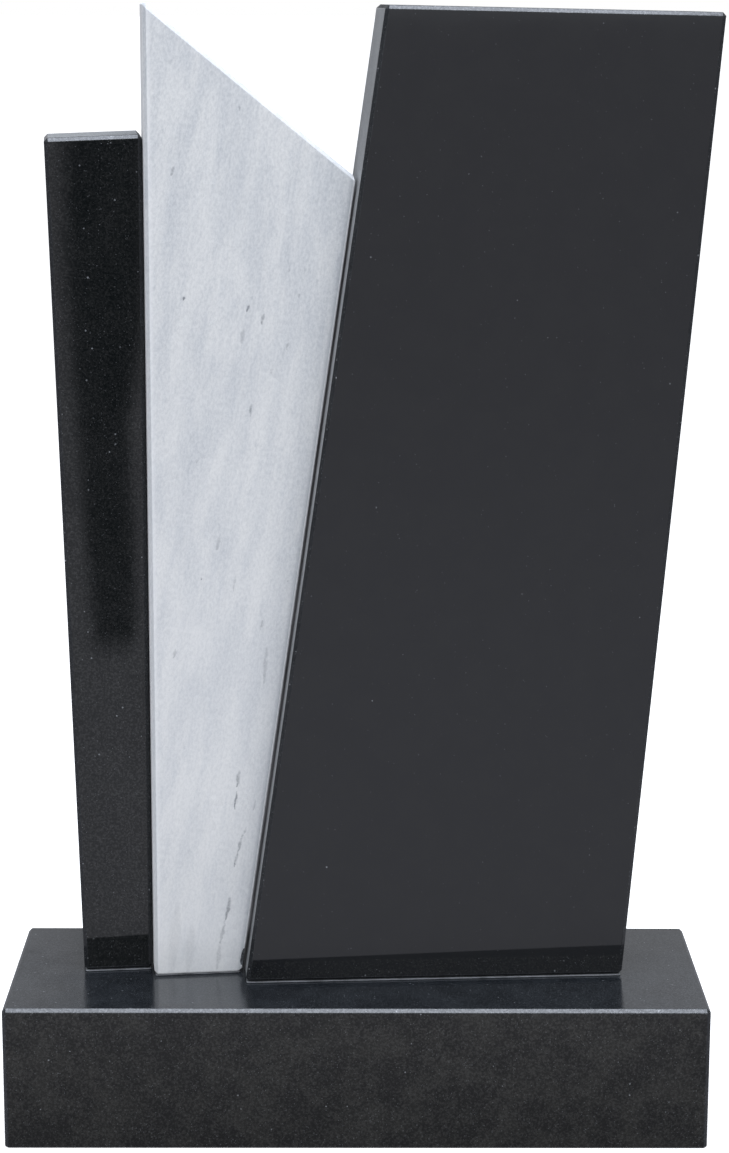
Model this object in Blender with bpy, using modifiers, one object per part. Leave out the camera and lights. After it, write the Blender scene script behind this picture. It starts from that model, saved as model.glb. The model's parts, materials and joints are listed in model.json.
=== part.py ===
"""Headstone: two slabs of black granite and one of white marble, set on a granite plinth.

Metres, +Z up, the front faces -Y and the origin is the middle of the plinth's underside.
Run it with blender --background --python part.py, or from Blender's text editor.
"""
import math

import bmesh
import bpy
from mathutils import Vector

# Plinth: it takes its length and depth from the stones that it carries and these ledges
PLINTH_HEIGHT = 0.167
PLINTH_ARRIS = 0.004
LEDGE_FRONT = 0.083
LEDGE_BACK = 0.0315
LEDGE_LEFT = 0.083
LEDGE_RIGHT = 0.0905

# Right stone: the large slab, whose two sides both lean to the right
RIGHT_FOOT = 0.439
RIGHT_HEIGHT = 1.1075
RIGHT_THICKNESS = 0.140
RIGHT_TURN = math.radians(3.6)
RIGHT_LEFT_LEAN = math.radians(8.10)
RIGHT_RIGHT_LEAN = math.radians(4.72)
RIGHT_TOP_FALL = math.radians(1.06)

# Marble stone: its point ends level with the right stone but for a small rise, and its right
# side follows the right stone across an open joint
MARBLE_FOOT = 0.1016
MARBLE_RISE = 0.004
MARBLE_THICKNESS = 0.060
MARBLE_TURN = math.radians(6.8)
MARBLE_TOP_FALL = math.radians(39.3)
MARBLE_SETBACK = 0.0365
MARBLE_JOINT_FOOT = 0.0035
MARBLE_JOINT_TOP = 0.0020
MARBLE_HEIGHT = RIGHT_HEIGHT + MARBLE_RISE

# Left stone: its right side follows the marble's upright left side
LEFT_FOOT = 0.0788
LEFT_HEIGHT = 0.9630
LEFT_THICKNESS = 0.100
LEFT_TURN = math.radians(6.0)
LEFT_LEFT_LEAN = math.radians(-1.665)
LEFT_TOP_FALL = math.radians(-2.05)
LEFT_SETBACK = 0.023
LEFT_JOINT_FOOT = 0.0012
LEFT_JOINT_TOP = 0.0003

# Edges of the stones, and the setting compound that they stand on
STONE_ARRIS = 0.004
BED_HEIGHT = 0.002
BED_INSET = 0.003
TOUCH_GAP = 0.0003

# Chip out of the marble's right front edge: its height above the foot, length and bite
CHIP_HEIGHT = 0.017
CHIP_LENGTH = 0.022
CHIP_WIDTH = 0.010
CHIP_BITE = 0.0028

# Colour, roughness
BLACK_GRANITE = ((0.030, 0.031, 0.034, 1.0), 0.10)
WHITE_MARBLE = ((0.62, 0.66, 0.70, 1.0), 0.30)
SETTING_COMPOUND = ((0.30, 0.31, 0.32, 1.0), 0.70)


def clear_scene():
    """Removes every object of the open scene."""
    for old in list(bpy.data.objects):
        bpy.data.objects.remove(old, do_unlink=True)


def new_collection(name):
    """Adds a collection to the scene."""
    collection = bpy.data.collections.new(name)
    bpy.context.scene.collection.children.link(collection)
    return collection


def make_material(name, look):
    """Makes a Principled material from a colour and a roughness."""
    color, roughness = look
    material = bpy.data.materials.new(name)
    material.use_nodes = True
    shader = material.node_tree.nodes["Principled BSDF"]
    shader.inputs["Base Color"].default_value = color
    shader.inputs["Roughness"].default_value = roughness
    shader.inputs["Metallic"].default_value = 0.0
    material.diffuse_color = color
    return material


def add_mesh(bm, name, material, collection):
    """Turns a bmesh into an object of its own in a collection."""
    mesh = bpy.data.meshes.new(name)
    bm.to_mesh(mesh)
    bm.free()
    mesh.materials.append(material)
    obj = bpy.data.objects.new(name, mesh)
    collection.objects.link(obj)
    return obj


def along(turn, distance):
    """Step along the face of a stone that is turned by an angle, seen from above."""
    return Vector((math.cos(turn), math.sin(turn), 0.0)) * distance


def behind(turn, distance):
    """Step straight back from the face of a stone that is turned by an angle."""
    return Vector((-math.sin(turn), math.cos(turn), 0.0)) * distance


def slab_outline(foot, height, left_slope, right_slope, top_slope):
    """Front outline of a slab, as (x, z) from the left end of its foot.

    The sides leave the ends of the foot with slopes of x per z, and the top falls to the
    right by top_slope from the left corner, which lies at the slab's full height.
    """
    top_left = Vector((height * left_slope, height))
    right_height = (height + top_slope * (top_left.x - foot)) / (1.0 + top_slope * right_slope)
    top_right = Vector((foot + right_height * right_slope, right_height))
    return {"foot_left": Vector((0.0, 0.0)), "foot_right": Vector((foot, 0.0)),
            "top_left": top_left, "top_right": top_right}


def slab(name, outline, thickness, material, collection):
    """Slab whose front face is the outline and lies in y = 0, from a cube primitive."""
    bm = bmesh.new()
    bmesh.ops.create_cube(bm, size=1.0)
    for vert in bm.verts:
        level = "top" if vert.co.z > 0 else "foot"
        side = "right" if vert.co.x > 0 else "left"
        corner = outline[f"{level}_{side}"]
        depth = thickness if vert.co.y > 0 else 0.0
        vert.co = Vector((corner.x, depth, corner.y))
    obj = add_mesh(bm, name, material, collection)
    add_arris(obj, STONE_ARRIS)
    return obj


def add_arris(obj, width, weighted=False):
    """Flat chamfer along the edges, or along the weighted ones only."""
    bevel = obj.modifiers.new("Arris", "BEVEL")
    bevel.width = width
    bevel.segments = 1
    bevel.limit_method = "WEIGHT" if weighted else "NONE"
    return bevel


def box(name, size, material, collection):
    """Box from a cube primitive, centred on its own origin."""
    bm = bmesh.new()
    bmesh.ops.create_cube(bm, size=1.0)
    bmesh.ops.scale(bm, vec=size, verts=bm.verts)
    return add_mesh(bm, name, material, collection)


def build_plinth(length, depth, granite, collection):
    """Plinth with every edge chamfered but those of its sawn underside."""
    plinth = box("plinth", (length, depth, PLINTH_HEIGHT), granite, collection)
    plinth.location.z = PLINTH_HEIGHT / 2
    weights = plinth.data.attributes.new("bevel_weight_edge", "FLOAT", "EDGE")
    for edge in plinth.data.edges:
        ends = [plinth.data.vertices[index].co for index in edge.vertices]
        underside = all(end.z < 0 for end in ends)
        weights.data[edge.index].value = 0.0 if underside else 1.0
    add_arris(plinth, PLINTH_ARRIS, weighted=True)
    return plinth


def add_setting_bed(stone, name, foot, thickness, compound, collection):
    """Thin bed under a stone, clear of the stone and of the plinth by the touching gap."""
    height = BED_HEIGHT - 2 * TOUCH_GAP
    size = (foot - 2 * BED_INSET, thickness - 2 * BED_INSET, height)
    bed = box(name, size, compound, collection)
    bed.parent = stone
    bed.location = (foot / 2, thickness / 2, -BED_HEIGHT / 2)
    return bed


def chip_edge(stone, outline, material, cutters):
    """Breaks a small scoop out of the right front edge of a slab, near its foot."""
    bm = bmesh.new()
    bmesh.ops.create_uvsphere(bm, u_segments=16, v_segments=10, radius=0.5)
    bmesh.ops.scale(bm, vec=(CHIP_WIDTH, CHIP_WIDTH, CHIP_LENGTH), verts=bm.verts)
    cutter = add_mesh(bm, "chip_cutter", material, cutters)
    slope = (outline["top_right"].x - outline["foot_right"].x) / outline["top_right"].y
    edge_x = outline["foot_right"].x + slope * CHIP_HEIGHT
    # The chamfer's own middle lies half an arris inside the sharp edge, both ways
    outward = Vector((1.0, -1.0, 0.0)).normalized()
    middle = Vector((edge_x - STONE_ARRIS / 2, STONE_ARRIS / 2, CHIP_HEIGHT))
    cutter.parent = stone
    cutter.location = middle + outward * (CHIP_WIDTH / 2 - CHIP_BITE)
    cutter.rotation_euler.y = math.atan(slope)
    cutter.hide_render = True
    cutter.display_type = "WIRE"
    cut = stone.modifiers.new("Chip", "BOOLEAN")
    cut.operation = "DIFFERENCE"
    cut.solver = "EXACT"
    cut.object = cutter
    return cutter


def following_slope(neighbour_slope, turn_between, joint_foot, joint_top, height):
    """Slope of a side that follows its neighbour's leaning side across an open joint."""
    return neighbour_slope / math.cos(turn_between) + (joint_foot - joint_top) / height


def joint_at_front(joint, depth_beside, turn_between):
    """Joint measured at the front, wide enough for the nearer back corner beside it."""
    return joint + max(0.0, depth_beside) * max(0.0, math.tan(turn_between))


def place(stone, corner, turn, parent):
    """Stands a stone on its bed, its left front foot corner at a point of the plan."""
    stone.parent = parent
    stone.location = (corner.x, corner.y, PLINTH_HEIGHT + BED_HEIGHT)
    stone.rotation_euler.z = turn


def main():
    """Builds the plinth, the three stones and their setting beds."""
    clear_scene()
    parts = new_collection("headstone")
    cutters = new_collection("cutters")
    granite = make_material("black_granite", BLACK_GRANITE)
    marble = make_material("white_marble", WHITE_MARBLE)
    compound = make_material("setting_compound", SETTING_COMPOUND)

    right_slope = math.tan(RIGHT_LEFT_LEAN)
    marble_slope = following_slope(right_slope, MARBLE_TURN - RIGHT_TURN,
                                   MARBLE_JOINT_FOOT, MARBLE_JOINT_TOP, MARBLE_HEIGHT)
    left_slope = following_slope(0.0, LEFT_TURN - MARBLE_TURN,
                                 LEFT_JOINT_FOOT, LEFT_JOINT_TOP, LEFT_HEIGHT)

    right_outline = slab_outline(RIGHT_FOOT, RIGHT_HEIGHT, right_slope,
                                 math.tan(RIGHT_RIGHT_LEAN), math.tan(RIGHT_TOP_FALL))
    marble_outline = slab_outline(MARBLE_FOOT, MARBLE_HEIGHT, 0.0,
                                  marble_slope, math.tan(MARBLE_TOP_FALL))
    left_outline = slab_outline(LEFT_FOOT, LEFT_HEIGHT, math.tan(LEFT_LEFT_LEAN),
                                left_slope, math.tan(LEFT_TOP_FALL))

    # Plan, from the right stone's left front corner: each stone is set back along its neighbour
    marble_joint = joint_at_front(MARBLE_JOINT_FOOT, MARBLE_THICKNESS, RIGHT_TURN - MARBLE_TURN)
    left_joint = joint_at_front(LEFT_JOINT_FOOT, MARBLE_THICKNESS - LEFT_SETBACK,
                                MARBLE_TURN - LEFT_TURN)
    right_corner = Vector((0.0, 0.0, 0.0))
    right_end = right_corner + along(RIGHT_TURN, RIGHT_FOOT)
    marble_end = right_corner + behind(RIGHT_TURN, MARBLE_SETBACK) - along(RIGHT_TURN, marble_joint)
    marble_corner = marble_end - along(MARBLE_TURN, MARBLE_FOOT)
    left_end = marble_corner + behind(MARBLE_TURN, LEFT_SETBACK) - along(MARBLE_TURN, left_joint)
    left_corner = left_end - along(LEFT_TURN, LEFT_FOOT)

    # The plinth spans the feet of the stones and the ledges round them
    back_corner = right_end + behind(RIGHT_TURN, RIGHT_THICKNESS)
    plinth_left = left_corner.x - LEDGE_LEFT
    plinth_right = right_end.x + LEDGE_RIGHT
    plinth_front = right_corner.y - LEDGE_FRONT
    plinth_back = back_corner.y + LEDGE_BACK
    middle = Vector(((plinth_left + plinth_right) / 2, (plinth_front + plinth_back) / 2, 0.0))

    headstone = bpy.data.objects.new("headstone_origin", None)
    parts.objects.link(headstone)
    plinth = build_plinth(plinth_right - plinth_left, plinth_back - plinth_front, granite, parts)
    plinth.parent = headstone

    right = slab("right_stone", right_outline, RIGHT_THICKNESS, granite, parts)
    place(right, right_corner - middle, RIGHT_TURN, headstone)
    add_setting_bed(right, "right_setting_bed", RIGHT_FOOT, RIGHT_THICKNESS, compound, parts)

    marble_stone = slab("marble_stone", marble_outline, MARBLE_THICKNESS, marble, parts)
    place(marble_stone, marble_corner - middle, MARBLE_TURN, headstone)
    chip_edge(marble_stone, marble_outline, marble, cutters)
    add_setting_bed(marble_stone, "marble_setting_bed", MARBLE_FOOT, MARBLE_THICKNESS,
                    compound, parts)

    left = slab("left_stone", left_outline, LEFT_THICKNESS, granite, parts)
    place(left, left_corner - middle, LEFT_TURN, headstone)
    add_setting_bed(left, "left_setting_bed", LEFT_FOOT, LEFT_THICKNESS, compound, parts)


main()
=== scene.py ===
import json
import logging
import math
from dataclasses import dataclass, field
from enum import Enum
from typing import Any

import bmesh
import bpy
from mathutils import Matrix, Vector, noise

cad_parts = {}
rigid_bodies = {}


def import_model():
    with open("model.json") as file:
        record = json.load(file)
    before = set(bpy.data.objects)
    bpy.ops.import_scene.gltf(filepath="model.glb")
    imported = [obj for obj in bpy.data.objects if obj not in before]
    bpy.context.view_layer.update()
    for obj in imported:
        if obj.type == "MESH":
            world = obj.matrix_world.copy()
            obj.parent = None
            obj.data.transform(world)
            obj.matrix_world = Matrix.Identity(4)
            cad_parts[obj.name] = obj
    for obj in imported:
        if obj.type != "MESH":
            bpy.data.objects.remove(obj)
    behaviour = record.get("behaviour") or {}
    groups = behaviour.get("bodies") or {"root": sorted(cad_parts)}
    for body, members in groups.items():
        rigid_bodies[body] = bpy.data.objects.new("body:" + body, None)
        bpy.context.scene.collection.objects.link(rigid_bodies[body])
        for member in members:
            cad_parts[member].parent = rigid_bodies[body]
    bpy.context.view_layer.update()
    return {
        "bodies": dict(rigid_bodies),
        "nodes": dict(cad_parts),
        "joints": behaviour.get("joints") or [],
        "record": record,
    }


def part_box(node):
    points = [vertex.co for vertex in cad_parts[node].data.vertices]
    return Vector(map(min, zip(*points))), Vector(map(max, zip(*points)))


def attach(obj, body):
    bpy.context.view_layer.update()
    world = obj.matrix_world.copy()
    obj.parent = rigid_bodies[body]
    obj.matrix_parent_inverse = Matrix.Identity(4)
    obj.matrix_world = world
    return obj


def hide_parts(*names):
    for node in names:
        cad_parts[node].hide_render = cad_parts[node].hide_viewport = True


# Headstone: two slabs of polished black granite and a pointed slab of white marble, set side
# by side and slightly askew on a low granite plinth. Metres, +Z up, the front faces -Y.

log = logging.getLogger("headstone")

BED_TOP = 0.169
PLINTH_TOP = 0.167
LIVELY_SHARE = 0.06
NEAR = 1e-6
SQUARE_EDGE = math.radians(70)
CUT_EDGE = math.radians(25)
PLINTH_CUT_EDGE = math.radians(31)

Socket = bpy.types.NodeSocket
Material = bpy.types.Material
NodeTree = bpy.types.NodeTree
Object = bpy.types.Object
Color = tuple[float, float, float]


class Zone(Enum):
    """Zones of one stone, in the order of its material slots.

    The plinth's top and a slab's sides share a slot number, because no stone has both.
    """

    FACE = 0
    ARRIS = 1
    REAR = 2
    UPPER = 3
    SIDE = 3
    BREAK = 4


class Tree:
    """Short way to place and link the nodes of one node tree."""

    def __init__(self, tree: NodeTree) -> None:
        """Keeps the tree that the nodes go into."""
        self.tree = tree
        self.column = 0

    def link(self, source: Socket, target: Socket) -> None:
        """Links one socket to another."""
        self.tree.links.new(source, target)

    def node(self, kind: str, inputs: dict[Any, Any] | None = None, **settings: Any) -> Any:
        """Adds one node.

        Args:
            kind: The node's Blender type.
            inputs: Values or sockets for its inputs, by name or by number.
            settings: The node's own properties.

        Returns:
            The new node.
        """
        made = self.tree.nodes.new(kind)
        made.location = (180 * (self.column % 12), -260 * (self.column // 12))
        self.column += 1
        for name, value in settings.items():
            setattr(made, name, value)
        for key, value in (inputs or {}).items():
            if isinstance(value, Socket):
                self.link(value, made.inputs[key])
            else:
                made.inputs[key].default_value = value
        return made

    def math(self, operation: str, first: Any, second: Any = 0.0, clamp: bool = False) -> Socket:
        """Adds a Math node.

        Args:
            operation: The sum to do, such as ADD.
            first: Its first value or socket.
            second: Its second value or socket.
            clamp: Whether the result is kept between 0 and 1.

        Returns:
            The socket with the result.
        """
        made = self.node("ShaderNodeMath", {0: first, 1: second}, operation=operation)
        made.use_clamp = clamp
        return made.outputs[0]

    def place(self) -> Socket:
        """Reads the place on the object, in metres."""
        return self.node("ShaderNodeTexCoord").outputs["Object"]

    def parts(self, vector: Any) -> Any:
        """Parts a vector into sockets named X, Y and Z."""
        return self.node("ShaderNodeSeparateXYZ", {0: vector}).outputs

    def size(self, value: Any) -> Socket:
        """Takes away a value's sign."""
        return self.math("ABSOLUTE", value)

    def mixed(self, share: Any, first: Socket, second: Socket, output: Any) -> None:
        """Mixes two shaders and gives the result to the tree's output.

        Args:
            share: The share of the second shader.
            first: The first shader.
            second: The second shader.
            output: The socket of the tree's output.
        """
        both = self.node("ShaderNodeMixShader", {0: share, 1: first, 2: second})
        self.link(both.outputs[0], output)

    def times(self, first: Any, second: Any, clamp: bool = False) -> Socket:
        """Multiplies two values."""
        return self.math("MULTIPLY", first, second, clamp)

    def plus(self, first: Any, second: Any, clamp: bool = False) -> Socket:
        """Adds two values."""
        return self.math("ADD", first, second, clamp)

    def minus(self, first: Any, second: Any, clamp: bool = False) -> Socket:
        """Takes the second value from the first."""
        return self.math("SUBTRACT", first, second, clamp)

    def vector(self, operation: str, first: Any, second: Any = (0.0, 0.0, 0.0)) -> Any:
        """Adds a Vector Math node and returns it."""
        return self.node("ShaderNodeVectorMath", {0: first, 1: second}, operation=operation)

    def scaled(self, vector: Any, by: Any) -> Socket:
        """Makes a vector longer or shorter."""
        made = self.node("ShaderNodeVectorMath", {0: vector, "Scale": by}, operation="SCALE")
        return made.outputs[0]

    def swayed(self, vector: Any, per_metre: float, detail: float, by: float) -> Socket:
        """Shifts a place by noise, the same way along each axis.

        Args:
            vector: The place to shift.
            per_metre: How many waves the noise has in a metre.
            detail: How many finer layers it has.
            by: How far it shifts, in metres for a full swing of the noise.

        Returns:
            The socket with the shifted place.
        """
        wave = self.node("ShaderNodeTexNoise", {"Vector": vector, "Scale": per_metre,
                                                "Detail": detail})
        sway = self.vector("SUBTRACT", wave.outputs["Color"], (0.5, 0.5, 0.5)).outputs[0]
        return self.vector("ADD", vector, self.scaled(sway, by)).outputs[0]

    def group(self, shared: NodeTree, vector: Any, **values: float) -> Any:
        """Places a shared shader group.

        Args:
            shared: The group.
            vector: Where it is read.
            values: Its other inputs, with _ for a space in their names.

        Returns:
            The group's node.
        """
        made = self.node("ShaderNodeGroup", {"Vector": vector}, node_tree=shared)
        for name, value in values.items():
            made.inputs[name.replace("_", " ")].default_value = value
        return made

    def span(self, value: Any, low: float, high: float, to_low: float = 0.0,
             to_high: float = 1.0) -> Socket:
        """Maps a range smoothly onto another.

        Args:
            value: The socket to map.
            low: Where the range starts.
            high: Where the range ends.
            to_low: The result at its start.
            to_high: The result at its end.

        Returns:
            The socket with the mapped value.
        """
        made = self.node("ShaderNodeMapRange", {
            "Value": value, "From Min": low, "From Max": high,
            "To Min": to_low, "To Max": to_high,
        }, interpolation_type="SMOOTHSTEP")
        return made.outputs["Result"]

    def blend(self, factor: Any, first: Any, second: Any, mode: str = "MIX") -> Socket:
        """Mixes two colours.

        Args:
            factor: The share of the second colour.
            first: The first colour, as a socket or as red, green and blue.
            second: The second colour.
            mode: How the two are mixed.

        Returns:
            The socket with the mixed colour.
        """
        made = self.node("ShaderNodeMix", {"Factor": factor}, data_type="RGBA", blend_type=mode)
        for index, value in ((6, first), (7, second)):
            if isinstance(value, Socket):
                self.link(value, made.inputs[index])
            else:
                made.inputs[index].default_value = (*value, 1.0)
        return made.outputs[2]

    def noise(self, vector: Any, scale: float, detail: float = 2.0, rough: float = 0.5) -> Socket:
        """Adds a Noise Texture node.

        Args:
            vector: Where it is read.
            scale: How many waves it has in a metre.
            detail: How many finer layers it has.
            rough: How strong the finer layers are.

        Returns:
            The socket with its value.
        """
        made = self.node("ShaderNodeTexNoise", {
            "Vector": vector, "Scale": scale, "Detail": detail, "Roughness": rough})
        return made.outputs["Fac"]

    def placed(self, vector: Any, turn: tuple[float, float, float],
               scale: tuple[float, float, float]) -> Socket:
        """Turns a pattern and then stretches it.

        Args:
            vector: The place to start from.
            turn: The turn about each axis, in radians.
            scale: The stretch along each axis of the turned pattern.

        Returns:
            The socket with the new place.
        """
        made = self.node("ShaderNodeMapping", {"Vector": vector, "Rotation": turn})
        return self.vector("MULTIPLY", made.outputs["Vector"], scale).outputs[0]


def new_group(name: str, takes: dict[str, Any], gives: dict[str, str]) -> tuple[Any, Tree, Any]:
    """Starts a shader node group.

    Args:
        name: The group's name.
        takes: The default of each input by name; a list of three stands for a vector.
        gives: The socket type of each output by name.

    Returns:
        The sockets that the group reads by name, its tree, and the sockets that it fills.
    """
    group = bpy.data.node_groups.new(name, "ShaderNodeTree")
    for label, default in takes.items():
        if isinstance(default, list):
            group.interface.new_socket(label, in_out="INPUT", socket_type="NodeSocketVector")
            continue
        made = group.interface.new_socket(label, in_out="INPUT", socket_type="NodeSocketFloat")
        made.default_value = default
    for label, kind in gives.items():
        group.interface.new_socket(label, in_out="OUTPUT", socket_type=kind)
    tree = Tree(group)
    source = tree.node("NodeGroupInput").outputs
    return source, tree, tree.node("NodeGroupOutput").inputs


def crystal_group() -> NodeTree:
    """Builds the group for scattered crystals: small bright grains in a stone.

    Returns:
        The node group, with a mask of the grains and a random tone for each.
    """
    takes = {"Vector": [0.0, 0.0, 0.0], "Per Metre": 420.0, "Share": 0.1, "Size": 0.4}
    gives = {"Mask": "NodeSocketFloat", "Tone": "NodeSocketFloat"}
    source, tree, result = new_group("scattered_crystals", takes, gives)
    cells = tree.node("ShaderNodeTexVoronoi", {
        "Vector": source["Vector"], "Scale": source["Per Metre"],
        "Randomness": 1.0}, feature="F1")
    parts = tree.node("ShaderNodeSeparateColor", {0: cells.outputs["Color"]})
    chosen = tree.math("LESS_THAN", parts.outputs[0], source["Share"])
    reach = tree.times(source["Size"], tree.span(parts.outputs[1], 0.0, 1.0, 0.35, 1.0))
    inside = tree.minus(reach, cells.outputs["Distance"])
    soft = tree.times(inside, 9.0, clamp=True)
    tree.link(tree.times(soft, chosen), result["Mask"])
    tree.link(parts.outputs[2], result["Tone"])
    return tree.tree


def polish_group() -> NodeTree:
    """Builds the group for a polisher's work: slow waves, hazy patches and fine pits.

    Returns:
        The node group, with a roughness, a height, and a mottling from 0 to 1.
    """
    takes = {"Vector": [0.0, 0.0, 0.0], "Gloss": 0.05, "Haze": 0.03, "Pits": 0.3}
    gives = {"Roughness": "NodeSocketFloat", "Height": "NodeSocketFloat",
             "Mottling": "NodeSocketFloat"}
    source, tree, result = new_group("polisher_marks", takes, gives)
    place = source["Vector"]
    patches = tree.noise(place, 14.0, 3.0, 0.6)
    hazy = tree.span(patches, 0.40, 0.70)
    rough = tree.plus(source["Gloss"], tree.times(hazy, source["Haze"]))
    pits = tree.span(tree.noise(place, 900.0, 1.0), 0.68, 0.80)
    waves = tree.noise(place, 9.0, 0.0)
    height = tree.minus(waves, tree.times(pits, source["Pits"]))
    tree.link(rough, result["Roughness"])
    tree.link(height, result["Height"])
    mottling = tree.span(tree.noise(place, 26.0, 5.0, 0.62), 0.33, 0.67)
    tree.link(mottling, result["Mottling"])
    return tree.tree


def streak_group() -> NodeTree:
    """Builds the group for one short dark vein between two points of a stone.

    Returns:
        The node group, with a mask of the vein.
    """
    takes = {"Vector": [0.0, 0.0, 0.0], "From": [0.0, 0.0, 0.0], "To": [0.0, 0.0, 0.1],
             "Width": 0.002}
    source, tree, result = new_group("short_vein", takes, {"Mask": "NodeSocketFloat"})
    run = tree.vector("SUBTRACT", source["To"], source["From"]).outputs[0]
    here = tree.vector("SUBTRACT", source["Vector"], source["From"]).outputs[0]
    along = tree.math("DIVIDE", tree.vector("DOT_PRODUCT", here, run).outputs["Value"],
                      tree.vector("DOT_PRODUCT", run, run).outputs["Value"])
    held = tree.math("MINIMUM", tree.math("MAXIMUM", along, 0.0), 1.0)
    away = tree.vector("DISTANCE", here, tree.scaled(run, held)).outputs["Value"]
    taper = tree.minus(1.0, tree.size(tree.minus(tree.times(held, 2.0), 1.0)))
    width = tree.times(source["Width"], tree.plus(tree.times(taper, 0.6), 0.4))
    near = tree.minus(1.0, tree.math("DIVIDE", away, width), clamp=True)
    tree.link(tree.times(near, 1.7, clamp=True), result["Mask"])
    return tree.tree


@dataclass(frozen=True)
class Groups:
    """The shader groups that the finishes share."""

    crystals: NodeTree
    polish: NodeTree
    streak: NodeTree


def new_material(name: str) -> tuple[Material, Tree, Any]:
    """Starts a material.

    Args:
        name: The material's name.

    Returns:
        The material, its tree and its Principled shader.
    """
    material = bpy.data.materials.new(name)
    material.use_nodes = True
    tree = Tree(material.node_tree)
    return material, tree, material.node_tree.nodes["Principled BSDF"]


def dress(tree: Tree, shader: Any, color: Socket, height: Socket, relief: float) -> None:
    """Gives a shader its colour and its relief.

    Args:
        tree: The material's tree.
        shader: Its Principled shader.
        color: The colour.
        height: The relief, from 0 to 1.
        relief: How high the relief is at 1, in metres.
    """
    bump = tree.node("ShaderNodeBump", {"Strength": 1.0, "Distance": relief, "Height": height})
    tree.link(color, shader.inputs["Base Color"])
    tree.link(bump.outputs["Normal"], shader.inputs["Normal"])


@dataclass(frozen=True)
class Flecks:
    """One kind of bright grain in granite."""

    per_metre: float
    part: float
    size: float
    strength: float


@dataclass(frozen=True)
class GraniteFinish:
    """Fine black granite, from mirror polish to sawn."""

    name: str
    ground: Color = (0.0046, 0.0059, 0.0062)
    grain: Color = (0.0165, 0.0176, 0.0175)
    clouds: float = 0.30
    fleck: Color = (0.20, 0.21, 0.22)
    share: float = 0.05
    texture: float = 1.0
    gloss: float = 0.035
    haze: float = 0.02
    relief: float = 0.00002
    index: float = 1.5
    sparkle: float = 0.2
    lively_below: float | None = None
    kinds: tuple[Flecks, ...] = (Flecks(290.0, 0.5, 0.36, 1.00), Flecks(640.0, 2.6, 0.46, 0.34))

    def build(self, groups: Groups) -> Material:
        """Makes the material.

        Args:
            groups: The shared shader groups.

        Returns:
            The finished material.
        """
        material, tree, shader = new_material(self.name)
        place = tree.place()
        polish = tree.group(groups.polish, place, Gloss=self.gloss, Haze=self.haze)
        fine = tree.span(tree.noise(place, 430.0, 3.0, 0.62), 0.38, 0.70)
        cloudy = tree.times(tree.minus(polish.outputs["Mottling"], 0.35), self.clouds)
        mottle = tree.times(fine, self.texture)
        lively = None
        if self.lively_below is not None:
            level = tree.parts(place)["Z"]
            lively = tree.span(level, self.lively_below + 0.002, self.lively_below - 0.002)
            mottle = tree.math("MAXIMUM", mottle, tree.times(fine, lively))
        body = tree.blend(tree.plus(mottle, cloudy, clamp=True), self.ground, self.grain)
        for kind in self.kinds:
            share = self.share * kind.part
            flecks = tree.group(groups.crystals, place, Per_Metre=kind.per_metre,
                                Share=share, Size=kind.size)
            if lively is not None:
                tree.link(tree.span(lively, 0.0, 1.0, share, LIVELY_SHARE * kind.part),
                          flecks.inputs["Share"])
            power = tree.times(flecks.outputs["Mask"],
                               tree.times(flecks.outputs["Tone"], kind.strength))
            body = tree.blend(power, body, self.fleck)
        dress(tree, shader, body, polish.outputs["Height"], self.relief)
        tree.link(polish.outputs["Roughness"], shader.inputs["Roughness"])
        if self.sparkle > 0.0:
            level = tree.span(fine, 0.0, 1.0, 0.5 - self.sparkle / 2, 0.5 + self.sparkle / 2)
            tree.link(level, shader.inputs["Specular IOR Level"])
        shader.inputs["IOR"].default_value = self.index
        return material


@dataclass(frozen=True)
class Vein:
    """One dark streak on the marble's own face: its ends, right of and above its foot corner."""

    start: tuple[float, float]
    end: tuple[float, float]
    width: float
    strength: float


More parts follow.
